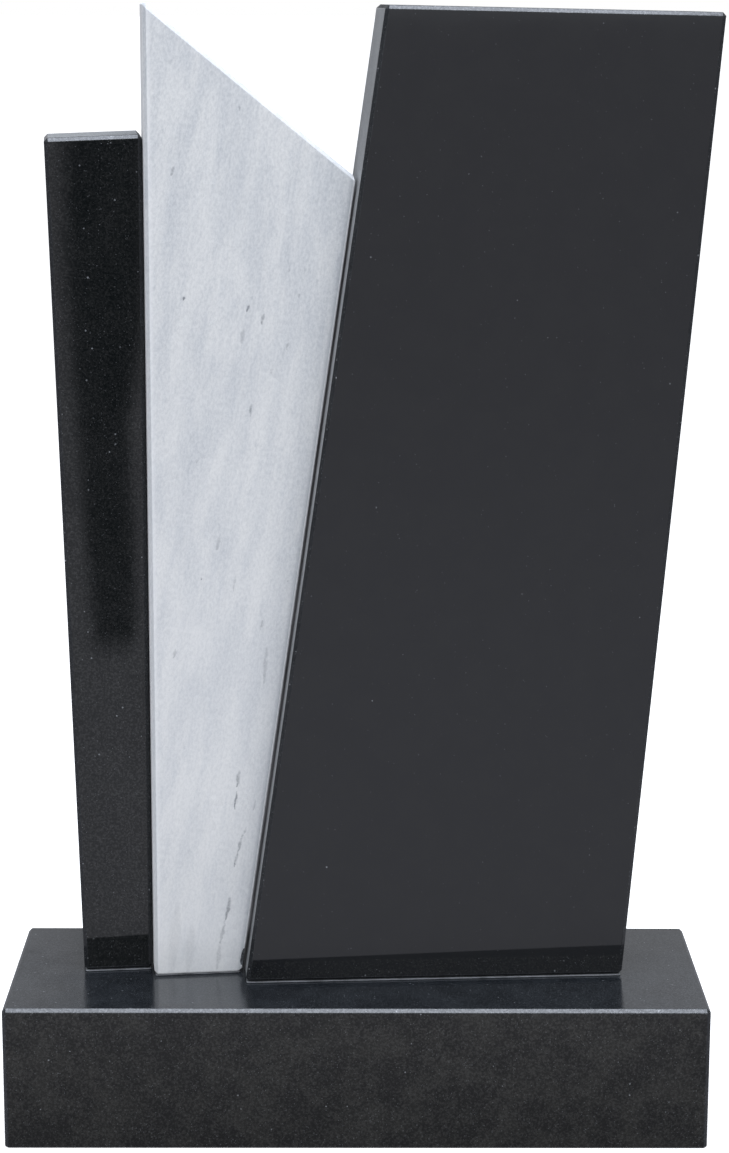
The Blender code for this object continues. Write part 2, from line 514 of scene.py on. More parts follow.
@dataclass(frozen=True)
class MarbleFinish:
    """White marble with soft grey bands that lean a little to the right."""

    name: str
    corner: tuple[float, float]
    turn: float
    white: Color = (0.750, 0.755, 0.740)
    grey: Color = (0.545, 0.570, 0.590)
    # The marble's own grey for threads and grain, also used for painted shade.
    cool_grey_and_shade: Color = (0.36, 0.39, 0.42)
    # Colour of painted light on the chamfers, sides and left edge.
    painted_light_pale: Color = (0.90, 0.91, 0.91)
    dark: Color = (0.115, 0.130, 0.150)
    lean: float = math.radians(-9.0)
    gloss: float = 0.22
    haze: float = 0.08
    # How strongly painted light lightens a zone; none on the face and rear.
    painted_light_lift: float = 0.0
    foot: float = 0.1016
    slope: float = 0.14390
    glow: float = 0.35
    glow_reach: float = 0.004
    index: float = 1.49
    relief: float = 0.00004
    veins: tuple[Vein, ...] = ()

    def build(self, groups: Groups) -> Material:
        """Makes the material.

        Args:
            groups: The shared shader groups.

        Returns:
            The finished material.
        """
        material, tree, shader = new_material(self.name)
        place = tree.place()
        moved = tree.vector("SUBTRACT", place, (*self.corner, BED_TOP)).outputs[0]
        own = tree.placed(moved, (0.0, 0.0, -self.turn), (1.0, 1.0, 1.0))
        axes = tree.parts(own)
        color = self.draw_bands(tree, own, axes)
        if self.veins:
            color = self.draw_veins(tree, groups, own, color)
        color = self.draw_edges(tree, axes, color)
        polish = tree.group(groups.polish, place, Gloss=self.gloss, Haze=self.haze)
        dress(tree, shader, color, polish.outputs["Height"], self.relief)
        tree.link(polish.outputs["Roughness"], shader.inputs["Roughness"])
        for name, value in (("Subsurface Weight", self.glow),
                            ("Subsurface Radius", (1.0, 1.0, 1.0)),
                            ("Subsurface Scale", self.glow_reach), ("IOR", self.index),
                            ("Specular IOR Level", 0.5 if self.painted_light_lift == 0.0 else 0.0)):
            shader.inputs[name].default_value = value
        return material

    def draw_bands(self, tree: Tree, own: Socket, axes: Any) -> Socket:
        """Draws the stone's own bands, threads and grains, with painted shade towards its right
        edge and painted light towards its foot.

        Args:
            tree: The material's tree.
            own: The place on the marble's own face.
            axes: The node that parts that place.

        Returns:
            The socket with the colour.
        """
        bent = tree.swayed(own, 6.0, 3.0, 0.03)
        lean = tree.placed(bent, (0.0, self.lean, 0.0), (1.0, 1.0, 0.20))
        broad = tree.span(tree.noise(lean, 34.0, 3.0, 0.55), 0.36, 0.64)
        bands = tree.span(tree.noise(lean, 85.0, 4.0, 0.62), 0.42, 0.70)
        fine = tree.placed(bent, (0.0, self.lean - math.radians(2.0), 0.0), (1.0, 1.0, 0.30))
        threads = tree.span(tree.noise(fine, 190.0, 4.0, 0.65), 0.54, 0.82)
        grain = tree.placed(own, (0.0, self.lean, 0.0), (1.0, 1.0, 0.55))
        sugar = tree.span(tree.noise(grain, 360.0, 3.0, 0.72), 0.32, 0.70)
        # Painted shade: towards the right edge, beside the black slab, the face turns to the
        # cooler grey, more so low down.
        rightward = tree.minus(axes["X"], tree.times(axes["Z"], 0.150))
        shade = tree.span(rightward, 0.045, 0.105)
        # Painted light: the face grows lighter towards its foot, more so near the bottom.
        low = tree.span(axes["Z"], 0.95, 0.15)
        foot_painted_light = tree.span(axes["Z"], 0.12, 0.03)
        patchy = tree.times(bands, tree.plus(0.25, tree.times(broad, 0.75)))
        cool_grey_and_shade = tree.times(shade, tree.plus(0.10, tree.times(low, 0.30)))
        color = tree.blend(tree.times(broad, 0.55), self.white, self.grey)
        # Own bands, threads and grain first, then painted shade at the right edge and painted
        # light towards the foot.
        for power, over in ((tree.times(patchy, 0.60), self.grey),
                            (tree.times(threads, 0.42), self.cool_grey_and_shade),
                            (cool_grey_and_shade, self.cool_grey_and_shade),
                            (tree.times(tree.minus(1.0, sugar), 0.19), self.cool_grey_and_shade),
                            (tree.times(sugar, 0.32), (0.90, 0.91, 0.90)),
                            (tree.times(low, 0.22), (0.98, 0.98, 0.97)),
                            (tree.times(foot_painted_light, 0.30), (1.0, 1.0, 0.99))):
            color = tree.blend(power, color, over)
        return color

    def draw_edges(self, tree: Tree, axes: Any, color: Socket) -> Socket:
        """Paints light and shade on the upright edges: painted shade near the right edge and on
        the left chamfer, painted light on the other chamfers, the sides and near the left edge, a
        painted highlight line along the right chamfer, and a painted shadow line at the right
        rim.

        Args:
            tree: The material's tree.
            axes: The node that parts the place on the marble's own face.
            color: The colour under them.

        Returns:
            The socket with the colour.
        """
        along = axes["X"]
        rim = tree.minus(along, tree.plus(self.foot, tree.times(axes["Z"], self.slope)))
        # Face and rear: painted shade towards the right edge, and a painted highlight towards the
        # left edge.
        if self.painted_light_lift == 0.0:
            color = tree.blend(tree.span(rim, -0.0075, -0.0030, 0.0, 0.45), color, self.cool_grey_and_shade)
            return tree.blend(tree.span(along, 0.0095, 0.0045, 0.0, 0.38), color, self.painted_light_pale)
        # Chamfers and sides: painted light lightens all but the left chamfer, which gets painted
        # shade instead.
        left = tree.times(tree.span(along, 0.0048, 0.0036), tree.span(along, 0.0002, 0.0008))
        color = tree.blend(tree.times(tree.minus(1.0, left), self.painted_light_lift), color, self.painted_light_pale)
        color = tree.blend(tree.times(left, 0.28), color, self.cool_grey_and_shade)
        # Painted highlight: a bright line along the right chamfer.
        color = tree.blend(tree.span(rim, -0.0035, -0.0020), color, (0.97, 0.98, 0.98))
        # Painted shade: a dark line at the right rim, in the gap beside the black slab.
        painted_gap_shade = tree.math("GREATER_THAN", rim, -0.0002)
        return tree.blend(painted_gap_shade, color, (0.26, 0.28, 0.29))

    def draw_veins(self, tree: Tree, groups: Groups, own: Any, color: Socket) -> Socket:
        """Adds the dark veins, ragged at their edges.

        Args:
            tree: The material's tree.
            groups: The shared shader groups.
            own: The place on the marble's own face.
            color: The colour under them.

        Returns:
            The socket with the colour.
        """
        ragged = tree.swayed(own, 150.0, 4.0, 0.0050)
        power = None
        for vein in self.veins:
            streak = tree.group(groups.streak, ragged, Width=vein.width)
            streak.inputs["From"].default_value = (vein.start[0], 0.0, vein.start[1])
            streak.inputs["To"].default_value = (vein.end[0], 0.002, vein.end[1])
            one = tree.times(streak.outputs["Mask"], vein.strength)
            power = one if power is None else tree.math("MAXIMUM", power, one)
        broken = tree.span(tree.noise(own, 420.0, 2.0), 0.22, 0.58, 0.30, 0.74)
        return tree.blend(tree.times(power, broken), color, self.dark)


@dataclass(frozen=True)
class GrittyFinish:
    """Dull stuff made of grains: a break in marble, coloured dark as painted shade, or wiped
    setting compound.
    """

    name: str
    light: Color
    dark: Color
    speck: Color
    specks: float
    share: float
    per_metre: float
    patches: tuple[float, float, float]
    spread: tuple[float, float]
    depth: float
    relief: float
    rough: float

    def build(self, groups: Groups) -> Material:
        """Makes the material.

        Args:
            groups: The shared shader groups.

        Returns:
            The finished material.
        """
        material, tree, shader = new_material(self.name)
        place = tree.place()
        grains = tree.group(groups.crystals, place, Per_Metre=self.per_metre,
                            Share=self.share, Size=0.6)
        dull = tree.span(tree.noise(place, *self.patches), *self.spread)
        color = tree.blend(tree.times(dull, self.depth), self.light, self.dark)
        color = tree.blend(tree.times(grains.outputs["Mask"], self.specks), color, self.speck)
        dress(tree, shader, color, grains.outputs["Mask"], self.relief)
        shader.inputs["Roughness"].default_value = self.rough
        return material


def new_piece(bm: bmesh.types.BMesh, name: str, materials: list[Material]) -> Object:
    """Turns a bmesh into an object at the origin.

    Args:
        bm: The mesh, already in its place. It is freed.
        name: The piece's name.
        materials: Its materials, in the order of its slots.

    Returns:
        The new object.
    """
    bmesh.ops.recalc_face_normals(bm, faces=bm.faces)
    mesh = bpy.data.meshes.new(name)
    bm.to_mesh(mesh)
    bm.free()
    for material in materials:
        mesh.materials.append(material)
    made = bpy.data.objects.new(name, mesh)
    bpy.context.scene.collection.objects.link(made)
    return made


def make_plain(piece: Object) -> None:
    """Turns a piece with modifiers into a plain mesh, and removes the modifiers.

    Args:
        piece: The piece.
    """
    bpy.context.view_layer.update()
    evaluated = piece.evaluated_get(bpy.context.evaluated_depsgraph_get())
    plain = bpy.data.meshes.new_from_object(evaluated)
    old = piece.data
    piece.modifiers.clear()
    piece.data = plain
    plain.name = piece.name
    bpy.data.meshes.remove(old)


def chamfer(bm: bmesh.types.BMesh, edges: list[Any], width: float, segments: int) -> None:
    """Cuts a chamfer, or rounds an edge, in the arris zone.

    Args:
        bm: The mesh to work on.
        edges: The edges to cut.
        width: How far the cut reaches from each edge.
        segments: 1 for a flat chamfer, more for a round edge.
    """
    bmesh.ops.bevel(bm, geom=edges, offset=width, offset_type="OFFSET", segments=segments,
                    profile=0.5, affect="EDGES", clamp_overlap=True, material=Zone.ARRIS.value)


def sharp_edges(bm: bmesh.types.BMesh, least: float) -> list[Any]:
    """Finds the edges whose faces meet at more than an angle.

    Args:
        bm: The mesh to look at.
        least: The smallest angle between the faces' normals, in radians.

    Returns:
        The edges.
    """
    return [edge for edge in bm.edges if edge.is_manifold and edge.calc_face_angle(0.0) > least]


def compare_box(piece: Object, node: str) -> None:
    """Reports how far a piece's box is from its CAD node's, in millimetres.

    Args:
        piece: The finished piece.
        node: The CAD node that it stands for.
    """
    low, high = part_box(node)
    points = [vert.co for vert in piece.data.vertices]
    apart = max(max(abs(min(p[axis] for p in points) - low[axis]),
                    abs(max(p[axis] for p in points) - high[axis])) for axis in range(3))
    log.info("%s: %d faces, box %.2f mm from its node's", piece.name,
             len(piece.data.polygons), apart * 1000)


@dataclass
class Plinth:
    """Low granite block, chamfered but for its sawn underside."""

    finishes: list[Material]
    arris: float = 0.004
    rounding: float = 0.0006
    worn: float = 0.0022
    piece: Object | None = field(default=None, init=False)

    def build(self) -> Object:
        """Makes the plinth and puts it in place of its CAD node.

        Returns:
            The plinth.
        """
        low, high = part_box("plinth")
        bm = bmesh.new()
        bmesh.ops.create_cube(bm, size=1.0)
        for vert in bm.verts:
            vert.co = Vector((high[0] if vert.co.x > 0 else low[0],
                              high[1] if vert.co.y > 0 else low[1],
                              high[2] if vert.co.z > 0 else low[2]))
        bm.normal_update()
        for face in bm.faces:
            under, over = face.normal.z < -0.5, face.normal.z > 0.5
            zone = Zone.REAR if under else Zone.UPPER if over else Zone.FACE
            face.material_index = zone.value
        upper = [edge for edge in bm.edges if max(v.co.z for v in edge.verts) > high[2] - NEAR]
        chamfer(bm, upper, self.arris, 1)
        bm.normal_update()
        lower = [edge for edge in bm.edges if max(v.co.z for v in edge.verts) < low[2] + NEAR]
        chamfer(bm, lower, self.worn, 3)
        bm.normal_update()
        chamfer(bm, sharp_edges(bm, PLINTH_CUT_EDGE), self.rounding, 2)
        self.piece = new_piece(bm, "granite_plinth", self.finishes)
        compare_box(self.piece, "plinth")
        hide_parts("plinth")
        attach(self.piece, "root")
        return self.piece


@dataclass
class Chip:
    """Small break in the edge of a slab, as an irregular scoop."""

    height: float = 0.017
    length: float = 0.023
    width: float = 0.0080
    bite: float = 0.0020

    def cutter(self, middle: Vector, lean: float, finish: Material) -> Object:
        """Makes the scoop's cutter.

        Args:
            middle: The chamfer's own middle at the chip, on the slab as it stands unturned.
            lean: The lean of the edge from upright, in radians.
            finish: The broken surface's material.

        Returns:
            The cutter.
        """
        bm = bmesh.new()
        bmesh.ops.create_icosphere(bm, subdivisions=5, radius=0.5)
        outward = Vector((1.0, -1.0, 0.0)).normalized()
        turn = Matrix.Rotation(lean, 3, "Y")
        for vert in bm.verts:
            way = vert.co.normalized()
            size = 1.04 + 0.26 * noise.noise(way * 2.6 + Vector((3.1, 0.7, 5.2)))
            size += 0.14 * noise.noise(way * 7.0) + 0.04 * noise.noise(way * 19.0)
            sized = Vector((vert.co.x * self.width, vert.co.y * self.width,
                            vert.co.z * self.length)) * size
            vert.co = middle + outward * (self.width / 2 - self.bite) + turn @ sized
        return new_piece(bm, "chip_cutter", [finish])


@dataclass
class Slab:
    """Upright slab with two leaning sides, a sloping top and chamfered edges."""

    name: str
    node: str
    bed_node: str
    slot: str
    foot: float
    height: float
    thickness: float
    corner: tuple[float, float]
    turn: float
    left_slope: float
    right_slope: float
    top_fall: float
    finishes: list[Material]
    arris: float = 0.004
    rounding: float = 0.0005
    fine_arris: float | None = None
    chip: Chip | None = None
    piece: Object | None = field(default=None, init=False)

    def stand(self) -> Matrix:
        """Returns the slab's place: its left front foot corner and its turn."""
        return Matrix.Translation((*self.corner, BED_TOP)) @ Matrix.Rotation(self.turn, 4, "Z")

    def corners(self) -> dict[str, tuple[float, float]]:
        """Works out the front outline.

        Returns:
            The four corners as (x, z) from the left end of the foot.
        """
        left = self.height * self.left_slope
        rise = (self.height + self.top_fall * (left - self.foot)) / (
            1.0 + self.top_fall * self.right_slope)
        return {"foot_left": (0.0, 0.0), "foot_right": (self.foot, 0.0),
                "top_left": (left, self.height),
                "top_right": (self.foot + rise * self.right_slope, rise)}

    def build(self) -> Object:
        """Makes the slab and puts it in place of its CAD node.

        Returns:
            The slab.
        """
        outline = self.corners()
        bm = bmesh.new()
        bmesh.ops.create_cube(bm, size=1.0)
        for vert in bm.verts:
            level = "top" if vert.co.z > 0 else "foot"
            side = "right" if vert.co.x > 0 else "left"
            x, z = outline[f"{level}_{side}"]
            vert.co = Vector((x, self.thickness if vert.co.y > 0 else 0.0, z))
        bm.normal_update()
        for face in bm.faces:
            rear = face.normal.y > 0.9 or face.normal.z < -0.9
            zone = Zone.REAR if rear else Zone.FACE if face.normal.y < -0.9 else Zone.SIDE
            face.material_index = zone.value
        fine = [edge for edge in bm.edges if self.fine_arris is not None
                and all(v.co.y < NEAR for v in edge.verts)
                and (all(v.co.x > self.foot / 2 for v in edge.verts)
                     or all(v.co.z < NEAR for v in edge.verts))]
        chamfer(bm, [edge for edge in bm.edges if edge not in fine], self.arris, 1)
        bm.normal_update()
        if fine:
            chamfer(bm, sharp_edges(bm, SQUARE_EDGE), self.fine_arris, 1)
        bm.normal_update()
        chamfer(bm, sharp_edges(bm, CUT_EDGE), self.rounding, 2)
        self.piece = new_piece(bm, self.name, self.finishes)
        if self.chip is not None:
            self.break_edge(self.chip)
        self.piece.data.transform(self.stand())
        compare_box(self.piece, self.node)
        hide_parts(self.node)
        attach(self.piece, "root")
        return self.piece

    def break_edge(self, chip: Chip) -> None:
        """Breaks a chip out of the right front edge.

        Args:
            chip: The chip's sizes.
        """
        edge_x = self.foot + self.right_slope * chip.height
        width = self.fine_arris or self.arris
        middle = Vector((edge_x - width / 2, width / 2, chip.height))
        cutter = chip.cutter(middle, math.atan(self.right_slope),
                             self.finishes[Zone.BREAK.value])
        cut = self.piece.modifiers.new("Chip", "BOOLEAN")
        cut.operation = "DIFFERENCE"
        cut.solver = "EXACT"
        cut.material_mode = "TRANSFER"
        cut.object = cutter
        make_plain(self.piece)
        bpy.data.objects.remove(cutter, do_unlink=True)


@dataclass
class SettingBead:
    """Compound that was pressed out all round the foot of a slab, made by a node tree."""

    slab: Slab
    finish: Material
    radius: float = 0.0011
    inset: float = 0.0021
    wobble: float = 0.0004
    spacing: float = 0.0016
    corner_radius: float = 0.0015
    corner_steps: int = 4
    sunk: float = 0.04
    seed: int = 7

    def path(self) -> Object:
        """Makes the closed path round the slab's foot.

        Returns:
            An object whose mesh is the path's edges.
        """
        inner, wide, deep = self.inset, self.slab.foot, self.slab.thickness
        round_by = self.corner_radius
        points = []
        # Each corner of the path, and the way its quarter turn starts, in degrees.
        for x, y, start in ((wide - inner, deep - inner, 0), (inner, deep - inner, 90),
                            (inner, inner, 180), (wide - inner, inner, 270)):
            middle = Vector((x - math.copysign(round_by, x - wide / 2),
                             y - math.copysign(round_by, y - deep / 2), 0.0))
            for step in range(self.corner_steps + 1):
                angle = math.radians(start + 90.0 / self.corner_steps * step)
                points.append(middle + Vector((math.cos(angle), math.sin(angle), 0)) * round_by)
        level = PLINTH_TOP + self.radius * (1.0 - self.sunk) - BED_TOP
        place = self.slab.stand()
        mesh = bpy.data.meshes.new(f"{self.slab.name}_bead")
        count = len(points)
        mesh.from_pydata([place @ (p + Vector((0, 0, level))) for p in points],
                         [(i, (i + 1) % count) for i in range(count)], [])
        made = bpy.data.objects.new(f"{self.slab.name}_bead", mesh)
        bpy.context.scene.collection.objects.link(made)
        return made

    def build(self, tree: NodeTree) -> Object:
        """Makes the bead along its path.

        Args:
            tree: The bead's geometry node tree.

        Returns:
            The bead.
        """
        piece = self.path()
        modifier = piece.modifiers.new("Bead", "NODES")
        modifier.node_group = tree
        values = {"Radius": self.radius, "Wobble": self.wobble, "Spacing": self.spacing,
                  "Seed": self.seed, "Finish": self.finish}
        for item in tree.interface.items_tree:
            if item.item_type == "SOCKET" and item.name in values:
                modifier[item.identifier] = values[item.name]
        make_plain(piece)
        log.info("%s: %d faces", piece.name, len(piece.data.polygons))
        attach(piece, "root")
        return piece


def bead_tree() -> NodeTree:
    """Builds the node tree that lays an uneven bead along a path.

    Returns:
        The geometry node tree, with named inputs for its sizes, its seed and its finish.
    """
    group = bpy.data.node_groups.new("pressed_out_bead", "GeometryNodeTree")
    face = group.interface
    face.new_socket("Geometry", in_out="INPUT", socket_type="NodeSocketGeometry")
    for name, default in (("Radius", 0.0011), ("Wobble", 0.0004), ("Spacing", 0.0016)):
        made = face.new_socket(name, in_out="INPUT", socket_type="NodeSocketFloat")
        made.default_value = default
    made = face.new_socket("Seed", in_out="INPUT", socket_type="NodeSocketInt")
    made.default_value = 7
    face.new_socket("Finish", in_out="INPUT", socket_type="NodeSocketMaterial")
    face.new_socket("Geometry", in_out="OUTPUT", socket_type="NodeSocketGeometry")
    tree = Tree(group)
    source = tree.node("NodeGroupInput")
    result = tree.node("NodeGroupOutput")
    curve = tree.node("GeometryNodeMeshToCurve", {"Mesh": source.outputs["Geometry"]})
    even = tree.node("GeometryNodeResampleCurve", {
        "Curve": curve.outputs[0], "Length": source.outputs["Spacing"]}, mode="LENGTH")
    place = tree.node("GeometryNodeInputPosition").outputs[0]
    swell = tree.node("ShaderNodeTexNoise", {
        "Vector": place, "W": source.outputs["Seed"], "Scale": 90.0, "Detail": 3.0,
        "Roughness": 0.6}, noise_dimensions="4D")
    sway = tree.vector("SUBTRACT", swell.outputs["Color"], (0.5, 0.5, 0.5)).outputs[0]
    flat = tree.vector("MULTIPLY", sway, (1.0, 1.0, 0.0)).outputs[0]
    shift = tree.scaled(flat, source.outputs["Wobble"])
    moved = tree.node("GeometryNodeSetPosition", {
        "Geometry": even.outputs[0], "Offset": shift})
    size = tree.span(swell.outputs["Fac"], 0.32, 0.68, 0.70, 1.0)
    fat = tree.node("GeometryNodeSetCurveRadius", {
        "Curve": moved.outputs[0], "Radius": size})
    ring = tree.node("GeometryNodeCurvePrimitiveCircle", {
        "Resolution": 8, "Radius": source.outputs["Radius"]})
    swept = tree.node("GeometryNodeCurveToMesh", {
        "Curve": fat.outputs[0], "Profile Curve": ring.outputs[0], "Scale": size})
    smooth = tree.node("GeometryNodeSetShadeSmooth", {"Geometry": swept.outputs[0]})
    real = tree.node("GeometryNodeRealizeInstances", {"Geometry": smooth.outputs[0]})
    dressed = tree.node("GeometryNodeSetMaterial", {
        "Geometry": real.outputs[0], "Material": source.outputs["Finish"]})
    group.links.new(dressed.outputs[0], result.inputs[0])
    return group


@dataclass
class Studio:
    """Pale floor, soft light and the camera, which are no part of the object."""

    surround: float = 0.52
    front: float = 0.98
    sides: float = 0.34
    low_left_dim: float = 0.38
    joints_dim: float = 0.90
    overhead: float = 7.6
    box_place: tuple[float, float, float] = (0.0, -1.0, 5.0)
    box_target: tuple[float, float, float] = (0.0, -0.6, 0.6)
    box_size: tuple[float, float] = (2.6, 2.9)
    card_spread: float = 1.18
    eye: tuple[float, float, float] = (-0.01108, -3.08005, 1.28930)
    turn: float = math.radians(-0.3597)
    dip: float = math.radians(11.961)
    roll: float = math.radians(0.1821)
    focus: float = 2756.52
    tall: int = 1153

    def build(self) -> None:
        """Makes the camera, the surround, the lights and the floor."""
        self.camera()
        self.world()
        self.lights()
        self.floor()
        self.flag()

    def camera(self) -> None:
        """Stands the camera where the photograph was taken from."""
        data = bpy.data.cameras.new("camera")
        data.sensor_fit = "AUTO"
        data.sensor_width = 36.0
        data.lens = self.focus * 36.0 / self.tall
        data.clip_end = 200.0
        made = bpy.data.objects.new("camera", data)
        aim = (Matrix.Rotation(self.turn, 4, "Z")
               @ Matrix.Rotation(math.pi / 2 - self.dip, 4, "X")
               @ Matrix.Rotation(self.roll, 4, "Z"))
        made.matrix_world = Matrix.Translation(self.eye) @ aim
        bpy.context.scene.collection.objects.link(made)
        bpy.context.scene.camera = made

    def world(self) -> None:
        """Sets a soft surround, dimmer at the sides, low at the left and behind the joints."""
        world = bpy.data.worlds.new("studio")
        bpy.context.scene.world = world
        world.use_nodes = True
        tree = Tree(world.node_tree)
        way = tree.node("ShaderNodeTexCoord").outputs["Generated"]
        parts = tree.parts(way)
        ahead = tree.span(parts["Y"], 0.0, -0.5, self.surround, self.front)
        aside = tree.times(tree.span(tree.size(parts["X"]), 0.25, 0.85),
                           tree.span(parts["Z"], 0.50, 0.12))
        power = tree.plus(tree.times(ahead, tree.minus(1.0, aside)),
                          tree.times(aside, self.sides))
        left = tree.span(parts["X"], -0.05, -0.09)
        flat = tree.span(parts["Z"], 0.040, 0.020)
        behind = tree.math("GREATER_THAN", parts["Y"], 0.0)
        dim = tree.times(tree.times(left, flat), behind)
        power = tree.times(power, tree.minus(1.0, tree.times(dim, self.low_left_dim)))
        middle = tree.span(tree.size(tree.plus(parts["X"], 0.0125)), 0.085, 0.060)
        window = tree.times(tree.times(middle, behind), tree.span(parts["Z"], 0.60, 0.50))
        power = tree.times(power, tree.minus(1.0, tree.times(window, self.joints_dim)))
        back = tree.tree.nodes["Background"]
        back.inputs["Color"].default_value = (0.95, 0.975, 1.03, 1.0)
        tree.link(power, back.inputs["Strength"])
        plain = tree.node("ShaderNodeBackground", {"Color": (1.0, 1.0, 1.0, 1.0),
                                                   "Strength": 1.0})
        seen = tree.node("ShaderNodeLightPath").outputs["Is Camera Ray"]
        tree.mixed(seen, back.outputs[0], plain.outputs[0],
                   tree.tree.nodes["World Output"].inputs["Surface"])
        bpy.context.scene.view_settings.view_transform = "Standard"

    def lights(self) -> None:
        """Hangs one large soft box above the stones, slightly to the front."""
        data = bpy.data.lights.new("overhead", "AREA")
        data.shape = "RECTANGLE"
        data.size, data.size_y = self.box_size
        data.energy = self.overhead * math.pi * self.box_size[0] * self.box_size[1]
        data.color = (0.92, 0.99, 1.12)
        made = bpy.data.objects.new("overhead", data)
        made.location = self.box_place
        aim = Vector(self.box_target) - Vector(self.box_place)
        made.rotation_euler = aim.to_track_quat("-Z", "Y").to_euler()
        made.visible_camera = False
        bpy.context.scene.collection.objects.link(made)

    def floor(self) -> None:
        """Lays the floor: plain white as seen straight, and a softer grey in reflections that
        glows with a painted pool of light in front.
        """
        bm = bmesh.new()
        bmesh.ops.create_grid(bm, x_segments=1, y_segments=1, size=150.0)
        material, tree, shader = new_material("studio_floor")
        tree.tree.nodes.remove(shader)
        place = tree.place()
        axes = tree.parts(place)
        # Painted light: in reflections the floor glows more in a pool in front of the stones and
        # less behind them.
        ahead = tree.span(axes["Y"], 0.0, -0.75)
        reach = tree.minus(tree.size(axes["X"]), tree.times(tree.size(axes["Y"]), 0.5))
        lit = tree.times(ahead, tree.span(reach, 1.4, 0.4))
        behind = tree.span(axes["Y"], 0.15, 0.45, 0.22, 0.14)
        power = tree.plus(behind, tree.times(lit, 0.32))
        grey = tree.node("ShaderNodeBsdfDiffuse", {"Color": (0.17, 0.172, 0.18, 1.0)})
        even = tree.node("ShaderNodeEmission", {"Color": (0.985, 0.97, 1.04, 1.0),
                                                "Strength": power})
        soft = tree.node("ShaderNodeAddShader", {0: grey.outputs[0], 1: even.outputs[0]})
        white = tree.node("ShaderNodeBsdfDiffuse", {"Color": (0.9, 0.9, 0.9, 1.0)})
        glow = tree.node("ShaderNodeEmission", {"Color": (1, 1, 1, 1), "Strength": 0.62})
        bright = tree.node("ShaderNodeAddShader", {0: white.outputs[0], 1: glow.outputs[0]})
        seen = tree.node("ShaderNodeLightPath").outputs["Is Camera Ray"]
        tree.mixed(seen, soft.outputs[0], bright.outputs[0],
                   tree.tree.nodes["Material Output"].inputs["Surface"])
        new_piece(bm, "studio_floor", [material])

    def flag(self) -> None:
        """Stands a black card with soft edges in front, which only the left slab mirrors."""
        # Each row of the card: its middle seen from above, its height, half its width.
        rows = (((-0.010, -2.18), 0.004, 0.038), ((0.026, -2.46), 0.004, 0.046),
                ((0.136, -3.42), 0.004, 0.062), ((0.124, -3.42), 0.28, 0.066),
                ((0.138, -3.42), 0.62, 0.104), ((0.142, -3.42), 1.50, 0.108))
        bm = bmesh.new()
        cover = bm.verts.layers.float.new("cover")
        rings = []
        for number, ((x, y), z, half) in enumerate(rows):
            ring = []
            for aside, dark in ((-1.0, 0.0), (-0.62, 1.0), (0.62, 1.0), (1.0, 0.0)):
                vert = bm.verts.new((x + aside * half * self.card_spread, y, z))
                vert[cover] = 0.0 if number == 0 else dark
                ring.append(vert)
            rings.append(ring)
        for first, second in zip(rings, rings[1:]):
            for index in range(3):
                bm.faces.new((first[index], first[index + 1], second[index + 1],
                              second[index]))
        material, tree, shader = new_material("black_card")
        shader.inputs["Base Color"].default_value = (0.01, 0.01, 0.011, 1.0)
        shader.inputs["Roughness"].default_value = 0.9
        clear = tree.node("ShaderNodeBsdfTransparent")
        share = tree.node("ShaderNodeAttribute", attribute_name="cover").outputs["Fac"]
        tree.mixed(share, clear.outputs[0], shader.outputs[0],
                   tree.tree.nodes["Material Output"].inputs["Surface"])
        card = new_piece(bm, "black_card", [material])
        card.visible_camera = False
        card.visible_diffuse = False
        card.visible_shadow = False


